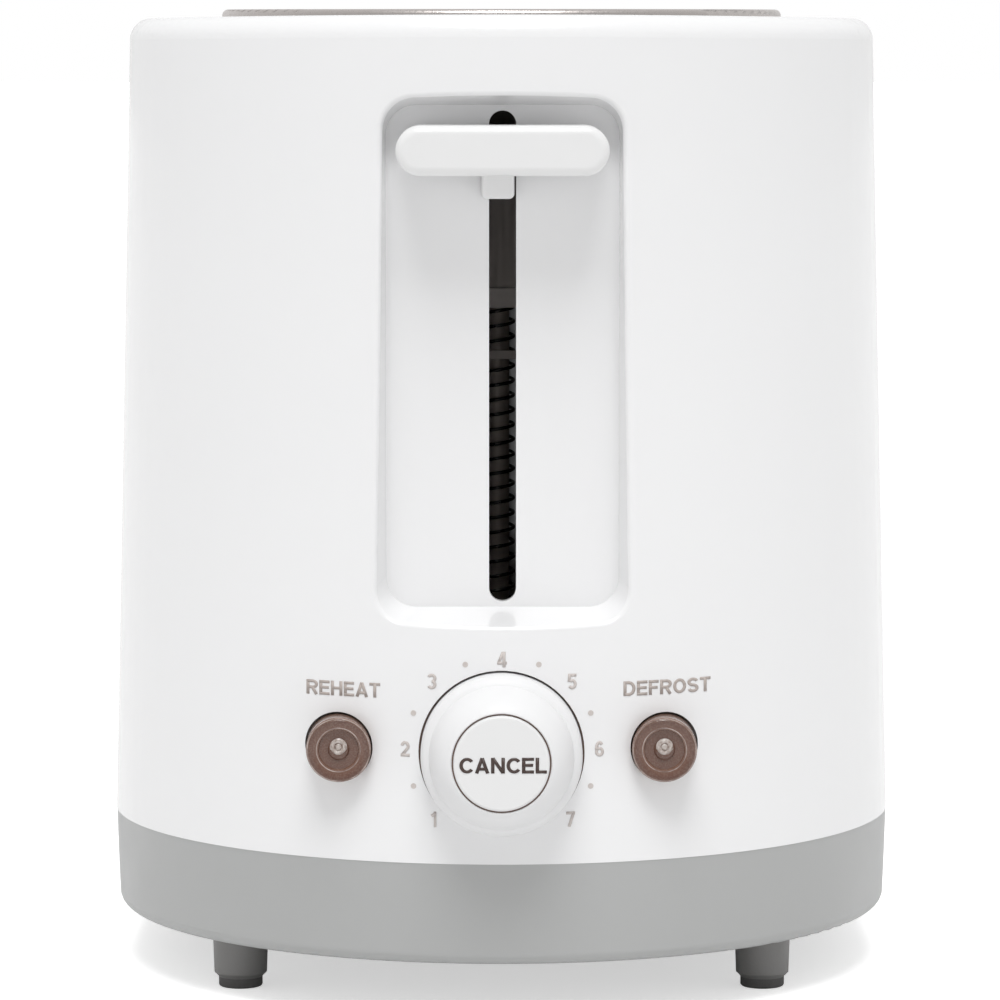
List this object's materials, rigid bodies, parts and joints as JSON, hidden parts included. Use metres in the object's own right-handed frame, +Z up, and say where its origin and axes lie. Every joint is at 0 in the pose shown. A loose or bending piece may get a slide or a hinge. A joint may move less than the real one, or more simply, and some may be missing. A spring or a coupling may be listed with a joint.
{
  "type": "pop up toaster",
  "caption": "Two-slice pop-up toaster with a white shell, grey base, side lever in a recess, browning dial with push buttons, bread racks, heaters and a crumb tray.",
  "frame": {"origin": "middle of the toaster's length and width on the surface that its feet stand on", "axes": "+Z up, -Y towards the lever and dial, +X to the right seen from the lever end"},
  "size_m": [0.162, 0.3008, 0.1979],
  "materials": {
    "white_shell": "gloss",
    "grey_base": "satin",
    "foot_grey": "satin",
    "rubber": "matte",
    "steel_plate": "satin",
    "dark_plastic": "matte",
    "steel_rod": "satin",
    "spring_steel": "satin",
    "zinc_sheet": "satin",
    "dark_steel": "satin",
    "rack_steel": "satin",
    "guard_wire": "satin",
    "board": "satin",
    "nylon": "satin",
    "nylon_grey": "satin",
    "lens_clear": "gloss",
    "smoky_lens": "gloss",
    "iron": "satin",
    "copper_coil": "satin",
    "brass_leaf": "satin",
    "screw_steel": "satin",
    "mica": "satin",
    "ribbon": "satin"
  },
  "bodies": {
    "housing": {"body_shell": "white_shell", "base_housing": "grey_base", "top_plate": "steel_plate", "foot_front_left": "foot_grey", "foot_front_right": "foot_grey", "foot_rear_left": "foot_grey", "foot_rear_right": "foot_grey", "foot_pads": "rubber", "cord_gland": "dark_plastic", "guide_rod": "steel_rod", "stop_bumper": "rubber", "front_end_plate": "zinc_sheet", "rear_end_plate": "zinc_sheet", "control_board": "board", "potentiometer_body": "dark_plastic", "cancel_switch": "dark_plastic", "reheat_switch": "dark_plastic", "defrost_switch": "dark_plastic", "reheat_led": "lens_clear", "defrost_led": "lens_clear", "magnet_core": "iron", "magnet_coil": "copper_coil", "contact_block": "dark_plastic", "contact_leaves": "brass_leaf", "terminal_block": "nylon", "base_screws": "screw_steel", "chassis_screws": "screw_steel", "board_screws": "screw_steel", "side_reflector_left": "zinc_sheet", "side_reflector_right": "zinc_sheet", "chassis_rail_left": "zinc_sheet", "chassis_rail_right": "zinc_sheet", "bread_guard_left_inner": "guard_wire", "bread_guard_left_outer": "guard_wire", "bread_guard_right_inner": "guard_wire", "bread_guard_right_outer": "guard_wire", "heater_board_left": "mica", "heater_board_center": "mica", "heater_board_right": "mica", "heater_winding_left": "ribbon", "heater_winding_center": "ribbon", "heater_winding_right": "ribbon", "lift_spring": "spring_steel", "cancel_spring": "spring_steel", "reheat_spring": "spring_steel", "defrost_spring": "spring_steel"},
    "carriage": {"lever_knob": "white_shell", "lever_neck": "white_shell", "carriage_bracket": "dark_steel", "carriage_bush": "nylon_grey", "armature_plate": "iron", "bread_rack_left": "rack_steel", "bread_rack_right": "rack_steel"},
    "dial": {"browning_dial": "white_shell", "potentiometer_rotor": "nylon"},
    "cancel": {"cancel_button": "white_shell"},
    "reheat": {"reheat_button": "smoky_lens"},
    "defrost": {"defrost_button": "smoky_lens"},
    "tray": {"crumb_tray": "zinc_sheet", "tray_handle": "grey_base"}
  },
  "joints": [
    {"name": "lever_slide", "type": "slide", "parent": "housing", "child": "carriage", "axis": [0, 0, -1], "range_m": [0, 0.076], "stiffness_N_per_m": 130, "springref_m": -0.055, "deforming": ["lift_spring"]},
    {"name": "dial_turn", "type": "hinge", "parent": "housing", "child": "dial", "pos_m": [0, -0.14205, 0.0536], "axis": [0, -1, 0], "range_deg": [-135, 135]},
    {"name": "cancel_press", "type": "slide", "parent": "housing", "child": "cancel", "axis": [0, 1, 0], "range_m": [0, 0.0015], "stiffness_N_per_m": 400, "springref_m": -0.0015, "deforming": ["cancel_spring"]},
    {"name": "reheat_press", "type": "slide", "parent": "housing", "child": "reheat", "axis": [0, 1, 0], "range_m": [0, 0.0015], "stiffness_N_per_m": 400, "springref_m": -0.0015, "deforming": ["reheat_spring"]},
    {"name": "defrost_press", "type": "slide", "parent": "housing", "child": "defrost", "axis": [0, 1, 0], "range_m": [0, 0.0015], "stiffness_N_per_m": 400, "springref_m": -0.0015, "deforming": ["defrost_spring"]},
    {"name": "tray_slide", "type": "slide", "parent": "housing", "child": "tray", "axis": [0, 1, 0], "range_m": [0, 0.19]}
  ]
}
